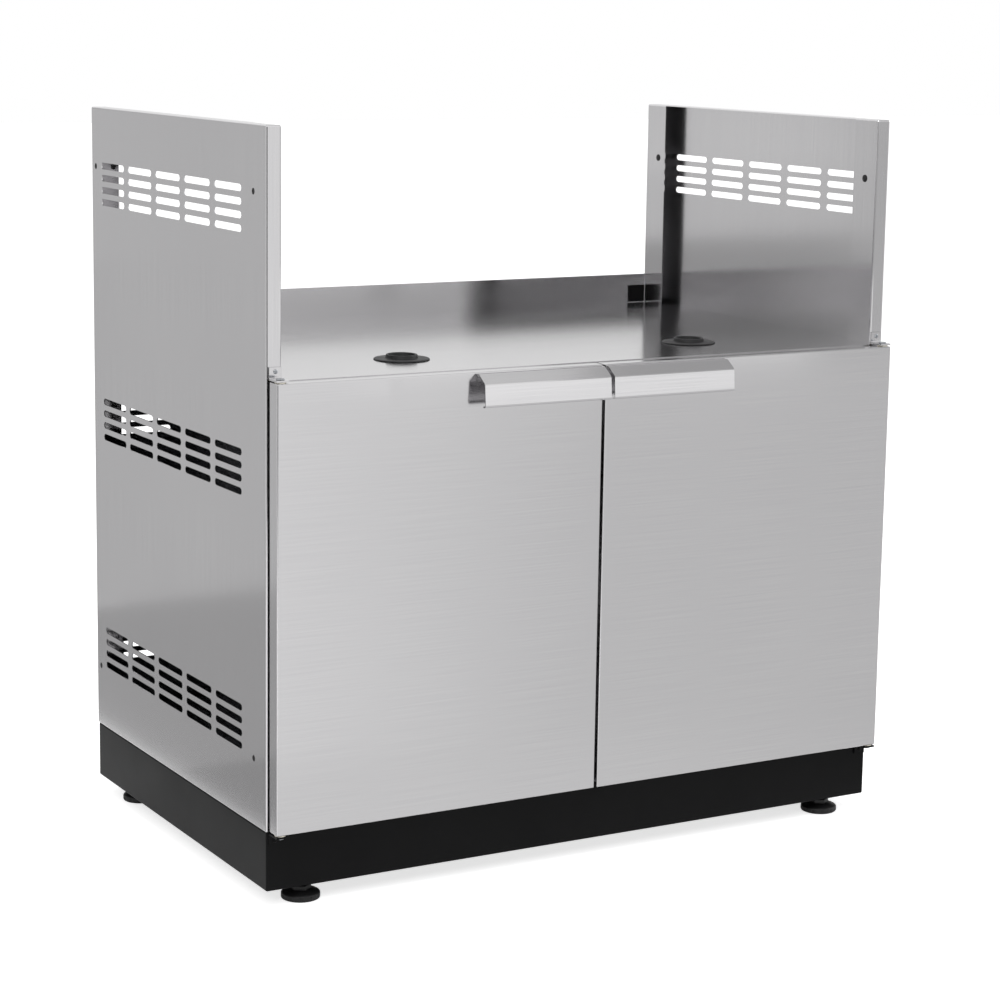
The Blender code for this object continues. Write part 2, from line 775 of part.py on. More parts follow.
def hinge_pin(name, side, leaf_outer, door_edge, up):
    """Headed pin through the flat leaf into the door's bush; up is 1 for the bottom pin."""
    head_inner = leaf_outer - up * FIT_GAP
    head_outer = head_inner - up * PIN_HEAD_HEIGHT
    tip = door_edge + up * PIN_REACH
    profile = [
        (0, head_outer),
        (PIN_HEAD_RADIUS - PIN_CHAMFER, head_outer),
        (PIN_HEAD_RADIUS, head_outer + up * PIN_CHAMFER),
        (PIN_HEAD_RADIUS, head_inner),
        (PIN_RADIUS, head_inner),
        (PIN_RADIUS, tip - up * PIN_CHAMFER),
        (PIN_RADIUS - PIN_CHAMFER, tip),
        (0, tip),
    ]
    return turned(name, profile, (side * PIVOT_X, PIVOT_Y, 0), TURNED_STEPS, zinc)


def hinge_bush(name, side, door_edge, up):
    """Flanged bush in the door's end; its collar spaces the door from the leaf."""
    collar_inner = door_edge - up * FIT_GAP
    collar_outer = collar_inner - up * COLLAR_HEIGHT
    body_end = door_edge + up * BUSH_LENGTH
    profile = [
        (BORE_RADIUS, collar_outer),
        (COLLAR_RADIUS, collar_outer),
        (COLLAR_RADIUS, collar_inner),
        (BUSH_RADIUS, collar_inner),
        (BUSH_RADIUS, body_end),
        (BORE_RADIUS, body_end),
    ]
    return turned(name, profile, (side * PIVOT_X, PIVOT_Y, 0), TURNED_STEPS, nylon)


def hinges(side):
    prefix = SIDE_NAMES[side] + "_"
    half_leaf = LEAF_THICKNESS / 2
    top_leaf = DOOR_TOP + COLLAR_SPACE + half_leaf
    bottom_leaf = DOOR_BOTTOM - COLLAR_SPACE - half_leaf
    top_foot = top_leaf + LEAF_UPRIGHT
    bottom_foot = bottom_leaf - LEAF_UPRIGHT
    plinth_face = FRONT + PLINTH_INSET
    hinge_leaf(prefix + "top_hinge_leaf", side, FRONT, top_foot, top_leaf, brushed)
    hinge_leaf(
        prefix + "bottom_hinge_leaf", side, plinth_face, bottom_foot, bottom_leaf, plinth_black
    )
    hinge_pin(prefix + "top_hinge_pin", side, top_leaf + half_leaf, DOOR_TOP, -1)
    hinge_pin(prefix + "bottom_hinge_pin", side, bottom_leaf - half_leaf, DOOR_BOTTOM, 1)
    hinge_bush(prefix + "top_hinge_bush", side, DOOR_TOP, -1)
    hinge_bush(prefix + "bottom_hinge_bush", side, DOOR_BOTTOM, 1)


def at_pivot(obj, side):
    """Moves an object's origin onto its door's hinge axis, leaving its shape in place."""
    shift = Vector((side * PIVOT_X, PIVOT_Y, 0)) - obj.location
    for vertex in obj.data.vertices:
        vertex.co -= shift
    obj.location += shift


def door(side):
    """Boxed door: a skin pan in front and a liner pan set into its back."""
    prefix = SIDE_NAMES[side] + "_door_"
    x_low, x_high = outwards(side, DOOR_INNER, DOOR_OUTER)
    wall = DOOR_SHEET
    low, high = (x_low, DOOR_FRONT, DOOR_BOTTOM), (x_high, DOOR_BACK, DOOR_TOP)
    skin = pan(prefix + "skin", low, high, wall, DOOR_BEND, brushed)
    for edge in (DOOR_TOP, DOOR_BOTTOM):
        place = (side * PIVOT_X, PIVOT_Y, edge)
        radius = BUSH_RADIUS + FIT_GAP
        depth = CUT_OVERRUN * 2
        cut(skin, rod(prefix + "bush_hole", place, radius, depth, (0, 0, 1), TURNED_STEPS))

    inset = wall + FIT_GAP
    low = (x_low + inset, DOOR_BACK - LINER_FLANGE, DOOR_BOTTOM + inset)
    high = (x_high - inset, DOOR_BACK, DOOR_TOP - inset)
    liner = channel(prefix + "liner", low, high, wall, "-y", "", inner_steel)

    x_low, x_high = outwards(
        side, CATCH_FROM_CENTRE - STRIKE_LENGTH / 2, CATCH_FROM_CENTRE + STRIKE_LENGTH / 2
    )
    middle = CATCH_TOP - CATCH_HEIGHT / 2
    y_low = DOOR_BACK + FIT_GAP
    strike = box(
        prefix + "strike",
        (x_low, y_low, middle - STRIKE_HEIGHT / 2),
        (x_high, y_low + STRIKE_THICKNESS, middle + STRIKE_HEIGHT / 2),
        zinc,
    )
    for piece in (skin, liner, strike, door_handle(side)):
        at_pivot(piece, side)


def door_handle(side):
    """Pull folded from one strip: tab on the door, sloping top, face and a hem."""
    half_sheet = HANDLE_SHEET / 2
    tab_y = DOOR_FRONT - FIT_GAP - half_sheet
    face_y = DOOR_FRONT - HANDLE_REACH + half_sheet
    top_z = DOOR_TOP - half_sheet
    face_top = DOOR_TOP - HANDLE_DROP
    face_bottom = face_top - HANDLE_FACE + half_sheet
    path = [
        (tab_y, top_z - HANDLE_TAB),
        (tab_y, top_z),
        (face_y + HANDLE_LEAN, face_top),
        (face_y, face_bottom),
        (face_y + HANDLE_HEM, face_bottom),
    ]
    inner = DOOR_INNER + HANDLE_FROM_SPLIT
    x_low, x_high = outwards(side, inner, inner + HANDLE_LENGTH)
    name = SIDE_NAMES[side] + "_door_handle"
    return folded(name, path, HANDLE_SHEET, HANDLE_BEND, x_low, x_high, brushed)


def catch(side):
    """Magnetic catch under the header rail."""
    x_low, x_high = outwards(
        side, CATCH_FROM_CENTRE - CATCH_LENGTH / 2, CATCH_FROM_CENTRE + CATCH_LENGTH / 2
    )
    y_low = FRONT - CATCH_PROUD
    low = (x_low, y_low, CATCH_TOP - CATCH_HEIGHT)
    body = box(SIDE_NAMES[side] + "_catch", low, (x_high, y_low + CATCH_DEPTH, CATCH_TOP), nylon)
    round_edges(body, CATCH_EDGE)
    return body


def bumper(name, x, z):
    """Rubber disc on the carcass front that the closed door rests against."""
    y_low, y_high = DOOR_BACK + FIT_GAP, FRONT - FIT_GAP
    place = (x, (y_low + y_high) / 2, z)
    disc = rod(name, place, BUMPER_RADIUS, y_high - y_low, (0, 1, 0), BUMPER_STEPS, rubber)
    bevel = disc.modifiers.new("edge", "BEVEL")
    bevel.width = BUMPER_EDGE
    bevel.segments = 1
    bevel.limit_method = "ANGLE"
    return disc


clear_scene()
parts = make_collection("outdoor_kitchen_island")
cutters = make_collection("cutters")

brushed = make_material("brushed_stainless", (0.62, 0.62, 0.63), 0.32, 1)
inner_steel = make_material("inner_stainless", (0.50, 0.50, 0.51), 0.25, 1)
plinth_black = make_material("black_powder_coat", (0.012, 0.012, 0.013), 0.45, 0)
rubber = make_material("black_rubber", (0.008, 0.008, 0.008), 0.6, 0)
zinc = make_material("zinc_plated_steel", (0.45, 0.45, 0.46), 0.35, 1)
nylon = make_material("white_nylon", (0.75, 0.74, 0.70), 0.4, 0)
black_plastic = make_material("black_plastic", (0.01, 0.01, 0.011), 0.4, 0)

side_panel(LEFT, LEFT_VENT_SETBACK)
side_panel(RIGHT, RIGHT_VENT_SETBACK)
grill_deck()
cord_pass_plug()
header_rail()
deck_brace("front_deck_brace", FRONT_BRACE_SETBACK)
deck_brace("rear_deck_brace", REAR_BRACE_SETBACK)
floor_panel()
back_panel()
plinth()
levelling_feet()
for each_side in (LEFT, RIGHT):
    hose_grommet(each_side)
    deck_cleat(each_side)
    hinges(each_side)
    door(each_side)
    catch(each_side)
    each_name = SIDE_NAMES[each_side]
    bumper_x = each_side * (HALF_WIDTH - BUMPER_FROM_SIDE)
    bumper(each_name + "_top_bumper", bumper_x, DECK_TOP - TOP_BUMPER_DROP)
    bumper(each_name + "_bottom_bumper", bumper_x, CARCASS_BOTTOM + BOTTOM_BUMPER_RISE)
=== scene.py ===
# Outdoor kitchen island in brushed stainless steel: finishes, small fittings, light and camera
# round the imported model. The doors face -Y and the ground is z = 0.

import math

import bpy
from mathutils import Matrix, Quaternion, Vector


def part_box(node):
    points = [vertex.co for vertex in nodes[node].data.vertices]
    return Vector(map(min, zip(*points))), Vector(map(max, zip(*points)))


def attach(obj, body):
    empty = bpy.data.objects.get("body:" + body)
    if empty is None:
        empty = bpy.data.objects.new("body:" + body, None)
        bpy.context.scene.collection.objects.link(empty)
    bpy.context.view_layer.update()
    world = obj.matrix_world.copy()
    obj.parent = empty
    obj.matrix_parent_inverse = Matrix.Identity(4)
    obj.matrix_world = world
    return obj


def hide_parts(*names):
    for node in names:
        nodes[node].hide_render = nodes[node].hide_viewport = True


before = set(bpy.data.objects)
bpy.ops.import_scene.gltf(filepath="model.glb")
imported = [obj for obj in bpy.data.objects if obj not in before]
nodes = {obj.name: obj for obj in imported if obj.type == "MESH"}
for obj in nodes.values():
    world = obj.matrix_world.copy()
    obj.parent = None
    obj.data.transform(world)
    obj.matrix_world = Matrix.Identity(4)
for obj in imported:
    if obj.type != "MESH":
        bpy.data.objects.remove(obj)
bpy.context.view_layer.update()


def toLinear(hexColour):
    # undoes the sRGB curve and adds a full alpha
    channels = [int(hexColour[start:start + 2], 16) / 255 for start in (1, 3, 5)]
    return [c / 12.92 if c <= 0.04045 else ((c + 0.055) / 1.055) ** 2.4 for c in channels] + [1]


def addNode(tree, kind, settings=None, links=None):
    # settings names an input or a property; links names an input and the output that feeds it;
    # an input may be given by its number instead
    node = tree.nodes.new(kind)
    for name, value in (settings or {}).items():
        if isinstance(name, int) or name in node.inputs:
            node.inputs[name].default_value = value
        else:
            setattr(node, name, value)
    for name, output in (links or {}).items():
        tree.links.new(output, node.inputs[name])
    return node


def startMaterial(name):
    material = bpy.data.materials.new(name)
    material.use_nodes = True
    tree = material.node_tree
    tree.nodes.clear()
    output = tree.nodes.new("ShaderNodeOutputMaterial")
    shader = tree.nodes.new("ShaderNodeBsdfPrincipled")
    tree.links.new(shader.outputs["BSDF"], output.inputs["Surface"])
    place = tree.nodes.new("ShaderNodeTexCoord").outputs["Object"]
    return material, tree, shader, place


# Brushed 304 stainless, number 4 finish: belt sanded in one direction, so it mirrors what stands
# near it softly and each sheet shows faint streaks along its grain
brushedSteel = {
    "colour": "#dad9da",
    "dullerColour": "#d2d1d3",
    "roughness": 0.145,
    "roughnessSpread": 0.03,
    "anisotropy": 0.65,
    "streakWidth": 0.0010,  # real scratches are 0.1 mm apart: drawn wider so that they show
    "streakLength": 0.16,
    "streakHeight": 0.000004,
    "cloudSize": 0.35,
    "cloudShare": 0.3,
    "patternRange": (0.3, 0.7),  # the part of the noise that the two colours are spread over
    "grainLean": (0.010, 0.011, 0.012),
}
quarterTurn = 0.25  # Anisotropic Rotation counts in whole turns


def makeBrushed(name, values, grain):
    # grain is the axis that the sanding belt ran along
    material, tree, shader, place = startMaterial(name)
    stretch = [1 / values["streakWidth"]] * 3
    stretch["xyz".index(grain)] = 1 / values["streakLength"]
    along = addNode(tree, "ShaderNodeMapping", {"Scale": stretch}, {"Vector": place})
    streaks = addNode(
        tree,
        "ShaderNodeTexNoise",
        {"Scale": 1, "Detail": 3, "Roughness": 0.6},
        {"Vector": along.outputs["Vector"]},
    )
    clouds = addNode(
        tree,
        "ShaderNodeTexNoise",
        {"Scale": 1 / values["cloudSize"], "Detail": 2, "Roughness": 0.5},
        {"Vector": place},
    )
    blend = addNode(
        tree,
        "ShaderNodeMix",
        {"data_type": "FLOAT", "Factor": values["cloudShare"]},
        {"A": streaks.outputs["Fac"], "B": clouds.outputs["Fac"]},
    )
    low, high = values["patternRange"]
    tone = addNode(tree, "ShaderNodeValToRGB", {}, {"Fac": blend.outputs["Result"]})
    tone.color_ramp.elements[0].position = low
    tone.color_ramp.elements[0].color = toLinear(values["dullerColour"])
    tone.color_ramp.elements[1].position = high
    tone.color_ramp.elements[1].color = toLinear(values["colour"])
    gloss = addNode(
        tree,
        "ShaderNodeMapRange",
        {
            "From Min": low,
            "From Max": high,
            "To Min": values["roughness"] + values["roughnessSpread"],
            "To Max": values["roughness"] - values["roughnessSpread"],
        },
        {"Value": blend.outputs["Result"]},
    )
    bump = addNode(
        tree,
        "ShaderNodeBump",
        {"Strength": 1, "Distance": values["streakHeight"]},
        {"Height": streaks.outputs["Fac"]},
    )
    # the blur is wider across the grain than along it; the grain leans a hair off its axis, so
    # that it never points straight out of a face
    lean = dict(zip("XYZ", values["grainLean"]))
    lean[grain.upper()] = 1
    axis = addNode(tree, "ShaderNodeCombineXYZ", lean)
    inWorld = addNode(
        tree,
        "ShaderNodeVectorTransform",
        {"vector_type": "VECTOR", "convert_from": "OBJECT", "convert_to": "WORLD"},
        {"Vector": axis.outputs["Vector"]},
    )
    tree.links.new(inWorld.outputs["Vector"], shader.inputs["Tangent"])
    shader.inputs["Anisotropic"].default_value = values["anisotropy"]
    shader.inputs["Anisotropic Rotation"].default_value = quarterTurn
    shader.inputs["Metallic"].default_value = 1
    tree.links.new(tone.outputs["Color"], shader.inputs["Base Color"])
    tree.links.new(gloss.outputs["Result"], shader.inputs["Roughness"])
    tree.links.new(bump.outputs["Normal"], shader.inputs["Normal"])
    return material


# The parts of the patches' noise that a grained finish spreads its two colours and its gloss over
toneRange, glossRange = (0.35, 0.65), (0.3, 0.7)


def makeGrained(name, values):
    # a body colour with fine relief and a little variation in gloss
    material, tree, shader, place = startMaterial(name)
    grit = addNode(
        tree,
        "ShaderNodeTexNoise",
        {"Scale": 1 / values["gritSize"], "Detail": 4, "Roughness": 0.55},
        {"Vector": place},
    )
    patches = addNode(
        tree,
        "ShaderNodeTexNoise",
        {"Scale": 1 / values["patchSize"], "Detail": 3, "Roughness": 0.5},
        {"Vector": place},
    )
    tone = addNode(tree, "ShaderNodeValToRGB", {}, {"Fac": patches.outputs["Fac"]})
    tone.color_ramp.elements[0].position = toneRange[0]
    tone.color_ramp.elements[0].color = toLinear(values["darkerColour"])
    tone.color_ramp.elements[1].position = toneRange[1]
    tone.color_ramp.elements[1].color = toLinear(values["colour"])
    gloss = addNode(
        tree,
        "ShaderNodeMapRange",
        {
            "From Min": glossRange[0],
            "From Max": glossRange[1],
            "To Min": values["roughness"] - values["roughnessSpread"],
            "To Max": values["roughness"] + values["roughnessSpread"],
        },
        {"Value": patches.outputs["Fac"]},
    )
    bump = addNode(
        tree,
        "ShaderNodeBump",
        {"Strength": 1, "Distance": values["gritHeight"]},
        {"Height": grit.outputs["Fac"]},
    )
    shader.inputs["Metallic"].default_value = values["metallic"]
    if "specular" in values:
        shader.inputs["Specular IOR Level"].default_value = values["specular"]
    tree.links.new(tone.outputs["Color"], shader.inputs["Base Color"])
    tree.links.new(gloss.outputs["Result"], shader.inputs["Roughness"])
    tree.links.new(bump.outputs["Normal"], shader.inputs["Normal"])
    return material


# Cold rolled stainless with its mill finish, on the sheets inside: greyer and less streaked
millSteel = dict(brushedSteel, colour="#bfc0c2", dullerColour="#b2b3b6", roughness=0.22)

# Satin polyester powder coat on steel: a fine orange peel, black with a soft sheen
powderCoat = {
    "colour": "#0f0f10",
    "darkerColour": "#0b0b0c",
    "metallic": 0,
    "roughness": 0.36,
    "roughnessSpread": 0.04,
    "specular": 0.11,
    "gritSize": 0.0022,
    "gritHeight": 0.00002,
    "patchSize": 0.12,
}

# Moulded nitrile rubber of the grommets and bumpers: black with a dull sheen
nitrile = {
    "colour": "#1d1d1f",
    "darkerColour": "#141415",
    "metallic": 0,
    "roughness": 0.50,
    "roughnessSpread": 0.06,
    "specular": 0.4,
    "gritSize": 0.0009,
    "gritHeight": 0.00002,
    "patchSize": 0.02,
}

# Neoprene of the cord pass plug: the blackest and least glossy finish in the scene
neoprene = dict(nitrile, colour="#0b0b0c", darkerColour="#080809", roughness=0.8, specular=0.1)

# Injection moulded polypropylene of the foot pads: spark eroded tool texture
polypropylene = {
    "colour": "#131314",
    "darkerColour": "#0d0d0e",
    "metallic": 0,
    "roughness": 0.48,
    "roughnessSpread": 0.05,
    "specular": 0.4,
    "gritSize": 0.0007,
    "gritHeight": 0.00002,
    "patchSize": 0.015,
}

# Zinc plated steel of the studs, pins and screws: bright grey with a faint cloudy plating
zincPlate = {
    "colour": "#b9bcc0",
    "darkerColour": "#a7aaae",
    "metallic": 1,
    "roughness": 0.32,
    "roughnessSpread": 0.06,
    "gritSize": 0.0012,
    "gritHeight": 0.00001,
    "patchSize": 0.006,
}

# Natural nylon of the bushes and catches: milky, faintly warm
nylon = {
    "colour": "#e6e2d6",
    "darkerColour": "#dcd7c8",
    "metallic": 0,
    "roughness": 0.42,
    "roughnessSpread": 0.04,
    "gritSize": 0.0006,
    "gritHeight": 0.00001,
    "patchSize": 0.01,
}

materials = {
    "brushed along x": makeBrushed("brushedSteelAlongX", brushedSteel, "x"),
    "brushed along z": makeBrushed("brushedSteelAlongZ", brushedSteel, "z"),
    "mill along x": makeBrushed("millSteelAlongX", millSteel, "x"),
    "mill along y": makeBrushed("millSteelAlongY", millSteel, "y"),
    "powder coat": makeGrained("satinPowderCoat", powderCoat),
    "nitrile": makeGrained("nitrileRubber", nitrile),
    "neoprene": makeGrained("deepBlackNeoprene", neoprene),
    "polypropylene": makeGrained("polypropylene", polypropylene),
    "zinc": makeGrained("zincPlate", zincPlate),
    "nylon": makeGrained("nylon", nylon),
}

# The first ending that a node's name has gives its finish
finishOfEnding = {
    "side_panel": "brushed along z",
    "top_hinge_leaf": "brushed along z",
    "bottom_hinge_leaf": "powder coat",
    "grill_deck": "brushed along x",
    "door_skin": "brushed along x",
    "door_handle": "brushed along x",
    "deck_cleat": "mill along y",
    "plinth": "powder coat",
    "grommet": "nitrile",
    "plug": "neoprene",
    "bumper": "nitrile",
    "foot_pad": "polypropylene",
    "foot_plate": "zinc",
    "foot_stud": "zinc",
    "hinge_pin": "zinc",
    "strike": "zinc",
    "bush": "nylon",
    "catch": "nylon",
    "": "mill along x",
}
for name, node in nodes.items():
    ending = next(ending for ending in finishOfEnding if name.endswith(ending))
    node.data.materials.clear()
    node.data.materials.append(materials[finishOfEnding[ending]])
print("finishes on", len(nodes), "nodes")

# Small fittings. Each is turned or pressed on the z axis at the origin, with its outer side up,
# and its copies are then set in place
sharpEdgeDegrees = 28  # sharper corners than this are bevelled
smoothEdgeDegrees = 32  # flatter corners than this are shaded smooth
nearlyEqual = 1e-5
uprightNormal = 0.1  # a face whose normal rises less than this is a side
flatNormal = 0.9  # a face whose normal rises more than this is a top


def selectOnly(piece):
    bpy.ops.object.select_all(action="DESELECT")
    piece.select_set(True)
    bpy.context.view_layer.objects.active = piece


def selectPoints(piece, wanted):
    # in edit mode: selects the points that wanted() picks, and the edges and faces between them
    bpy.ops.mesh.select_all(action="DESELECT")
    bpy.ops.object.mode_set(mode="OBJECT")
    for point in piece.data.vertices:
        point.select = wanted(point.co)
    bpy.ops.object.mode_set(mode="EDIT")
    bpy.ops.mesh.select_mode(type="VERT")


def cornerPoints(radius, height, steps):
    # an outline's points round one corner, as steps outwards and upwards from the sharp corner
    return [(radius + out, height + up) for out, up in steps]


def domePoints(radius, height, shares):
    return [(radius * across, height * up) for across, up in shares]


def turnPiece(outline, segments, hollow=False):
    # outline lists radius and height; a hollow piece is bridged from its last ring to its first
    bpy.ops.object.select_all(action="DESELECT")
    radius, height = outline[0]
    bpy.ops.mesh.primitive_circle_add(vertices=segments, radius=radius)
    piece = bpy.context.object
    bpy.ops.object.mode_set(mode="EDIT")
    bpy.ops.mesh.select_all(action="SELECT")
    bpy.ops.transform.translate(value=(0, 0, height))
    for nextRadius, nextHeight in outline[1:]:
        rise = {"value": (0, 0, nextHeight - height)}
        bpy.ops.mesh.extrude_region_move(TRANSFORM_OT_translate=rise)
        bpy.ops.transform.resize(value=(nextRadius / radius, nextRadius / radius, 1))
        radius, height = nextRadius, nextHeight
    if not hollow:
        bpy.ops.mesh.edge_face_add()
    firstRadius, firstHeight = outline[0]

    def onEndRing(point):
        width = math.hypot(point.x, point.y)
        first = math.dist((width, point.z), (firstRadius, firstHeight)) < nearlyEqual
        last = math.dist((width, point.z), (radius, height)) < nearlyEqual
        return first or (hollow and last)

    selectPoints(piece, onEndRing)
    if hollow:
        bpy.ops.mesh.bridge_edge_loops()
    else:
        bpy.ops.mesh.edge_face_add()
    bpy.ops.mesh.select_all(action="SELECT")
    bpy.ops.mesh.normals_make_consistent(inside=False)
    bpy.ops.object.mode_set(mode="OBJECT")
    return piece


def softenEdges(piece, width, segments=2):
    selectOnly(piece)
    bevel = piece.modifiers.new("softEdge", "BEVEL")
    bevel.width = width
    bevel.segments = segments
    bevel.limit_method = "ANGLE"
    bevel.angle_limit = math.radians(sharpEdgeDegrees)
    bpy.ops.object.modifier_apply(modifier=bevel.name)


def cutWith(piece, cutter):
    selectOnly(piece)
    boolean = piece.modifiers.new("recess", "BOOLEAN")
    boolean.operation = "DIFFERENCE"
    boolean.solver = "EXACT"
    boolean.object = cutter
    bpy.ops.object.modifier_apply(modifier=boolean.name)
    bpy.data.objects.remove(cutter, do_unlink=True)


def joinPieces(piece, others):
    bpy.ops.object.select_all(action="DESELECT")
    for other in others:
        other.select_set(True)
    piece.select_set(True)
    bpy.context.view_layer.objects.active = piece
    bpy.ops.object.join()
    return piece


def smoothPiece(piece):
    selectOnly(piece)
    bpy.ops.object.shade_smooth_by_angle(angle=math.radians(smoothEdgeDegrees))


def middleOf(low, high):
    return (low + high) / 2


def setCopy(pattern, name, place, facing, body, stretch=(1, 1, 1), stands=None):
    # facing is where the pattern's top points; stands is the node that the copy stands for
    piece = bpy.data.objects.new(name, pattern.data.copy())
    bpy.context.scene.collection.objects.link(piece)
    turn = Vector((0, 0, 1)).rotation_difference(Vector(facing)).to_matrix().to_4x4()
    piece.data.transform(Matrix.Translation(place) @ turn @ Matrix.Diagonal((*stretch, 1)))
    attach(piece, body)
    if stands:
        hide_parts(stands)
    return piece


sides = {"left": -1, "right": 1}
corners = ("front_left", "front_right", "rear_left", "rear_right")

# Rubber grommet moulded round the hose hole's edge: a wide thin brim with a collar standing on
# it, and a sleeve below
grommet = {
    "segments": 72,
    "bore": 0.0165,
    "collar": 0.0197,
    "brim": 0.0350,
    "neck": 0.0234,
    "sleeve": 0.0270,
    "groove": 0.0018,  # takes the deck's 1.2 mm sheet with 0.3 mm of slack each side
    "brimHeight": 0.0016,
    "collarHeight": 0.0062,
    "sleeveHeight": 0.0090,
    "boreEdge": ((0, -0.0012), (0.0004, -0.0004), (0.0011, 0)),
    "collarEdge": ((-0.0010, 0), (-0.0002, -0.0004), (0, -0.0012)),
    "collarFoot": ((0.0006, 0.0005), (0.0013, 0)),
    "brimEdge": ((-0.0030, 0), (-0.0011, -0.0003), (-0.0003, -0.0009)),
    "brimUnderside": ((0, 0.0003), (-0.0003, 0)),
    "sleeveShoulder": ((0, 0), (0, -0.0022)),
    "sleeveEnd": ((0.0030, 0), (0.0006, 0)),
    "boreEnd": 0.0006,
    "softness": 0.0002,
}


def makeGrommet(values):
    bore, collar, edge, neck, sleeve, low = (
        values[key] for key in ("bore", "collar", "brim", "neck", "sleeve", "sleeveHeight")
    )
    brim = values["groove"] + values["brimHeight"]
    top = values["groove"] + values["collarHeight"]
    outline = [
        (bore, values["boreEnd"] - low),
        *cornerPoints(bore, top, values["boreEdge"]),
        *cornerPoints(collar, top, values["collarEdge"]),
        *cornerPoints(collar, brim, values["collarFoot"]),
        *cornerPoints(edge, brim, values["brimEdge"]),
        *cornerPoints(edge, values["groove"], values["brimUnderside"]),
        (neck, values["groove"]),
        (neck, 0),
        *cornerPoints(sleeve, 0, values["sleeveShoulder"]),
        *cornerPoints(bore, -low, values["sleeveEnd"]),
    ]
    ring = turnPiece(outline, values["segments"], hollow=True)
    softenEdges(ring, values["softness"])
    ring.data.materials.append(materials["nitrile"])
    smoothPiece(ring)
    return ring


grommetPattern = makeGrommet(grommet)
for side in sides:
    node = side + "_hose_grommet"
    low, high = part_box(node)
    middle = middleOf(low, high)
    place = (middle.x, middle.y, low.z + grommet["sleeveHeight"])
    setCopy(
        grommetPattern, node + "_ring", place, (0, 0, 1), "cabinet", stands=node
    )
bpy.data.objects.remove(grommetPattern, do_unlink=True)
print("hose grommets made")

# Levelling foot: moulded pad with a fluted rim and a hexagon to turn it by, on an M10 stud
footPad = {
    "segments": 72,
    "radius": 0.0240,
    "height": 0.0170,
    "rimTop": 0.0080,
    "shoulder": 0.0118,
    "socket": 0.0054,
    "socketFloor": 0.0048,
    "fluteEvery": 6,
    "fluteFaces": 2,
    "fluteDepth": 0.0007,
    "fluteInset": 0.0005,
    "hexagon": 0.0130,
    "hexagonRoot": 0.0010,  # how far the hexagon reaches down into the pad
    "shoulderEdge": ((-0.0006, 0), (0.0022, -0.0010)),
    "rimEdge": ((-0.0022, 0.0006), (-0.0008, -0.0002), (0, -0.0014)),
    "soleEdge": ((0, 0.0020), (-0.0008, 0.0006), (-0.0030, 0)),
    "soleHollow": 0.0060,
    "padSoftness": 0.0003,
    "hexagonSoftness": 0.0005,
    "socketSegments": 32,
    "socketCut": 0.03,
}


def makeFootPad(values):
    radius, rimTop, shoulder = values["radius"], values["rimTop"], values["shoulder"]
    outline = [
        (values["socket"], values["socketFloor"]),
        (values["socket"], shoulder),
        *cornerPoints(values["hexagon"], shoulder, values["shoulderEdge"]),
        *cornerPoints(radius, rimTop, values["rimEdge"]),
        *cornerPoints(radius, 0, values["soleEdge"]),
        (values["soleHollow"], 0),
    ]
    pad = turnPiece(outline, values["segments"])
    bpy.ops.object.mode_set(mode="EDIT")
    bpy.ops.mesh.select_mode(type="FACE")
    bpy.ops.mesh.select_all(action="DESELECT")
    bpy.ops.object.mode_set(mode="OBJECT")
    step = 2 * math.pi / values["segments"]
    rimLow = values["soleEdge"][0][1]
    rimHigh = rimTop + values["rimEdge"][-1][1]
    for face in pad.data.polygons:
        onRim = rimLow < face.center.z < rimHigh and abs(face.normal.z) < uprightNormal
        column = round(math.atan2(face.center.y, face.center.x) / step - 0.5)
        face.select = onRim and column % values["fluteEvery"] < values["fluteFaces"]
    bpy.ops.object.mode_set(mode="EDIT")
    bpy.ops.mesh.inset(thickness=values["fluteInset"])
    bpy.ops.transform.shrink_fatten(value=-values["fluteDepth"])
    bpy.ops.object.mode_set(mode="OBJECT")
    softenEdges(pad, values["padSoftness"])

    foot = shoulder - values["hexagonRoot"]
    bpy.ops.object.select_all(action="DESELECT")
    bpy.ops.mesh.primitive_cylinder_add(
        vertices=6,
        radius=values["hexagon"],
        depth=values["height"] - foot,
        location=(0, 0, middleOf(foot, values["height"])),
    )
    hexagon = bpy.context.object
    bpy.ops.object.transform_apply(location=True, rotation=True, scale=True)
    bpy.ops.mesh.primitive_cylinder_add(
        vertices=values["socketSegments"],
        radius=values["socket"],
        depth=values["socketCut"],
        location=(0, 0, values["socketCut"] / 2),
    )
    cutWith(hexagon, bpy.context.object)
    softenEdges(hexagon, values["hexagonSoftness"])
    pad = joinPieces(pad, [hexagon])
    pad.data.materials.append(materials["polypropylene"])
    smoothPiece(pad)
    return pad


# M10 stud: real pitch 1.5 mm
stud = {
    "segments": 32,
    "core": 0.0042,
    "crest": 0.0050,
    "pitch": 0.0015,
    "bottom": 0.0052,
    "top": 0.0650,
    "bottomEdge": ((-0.0006, 0), (0, 0.0006)),
    "topEdge": ((0, -0.0008), (-0.0008, 0)),
    "turns": 38,
    "stepsPerTurn": 20,
    "threadStart": 0.0010,
    "threadRoot": 0.0004,  # how far the thread reaches into the core
    "rootShare": 0.86,
    "crestShare": 0.2,
    "weld": 0.00001,
}


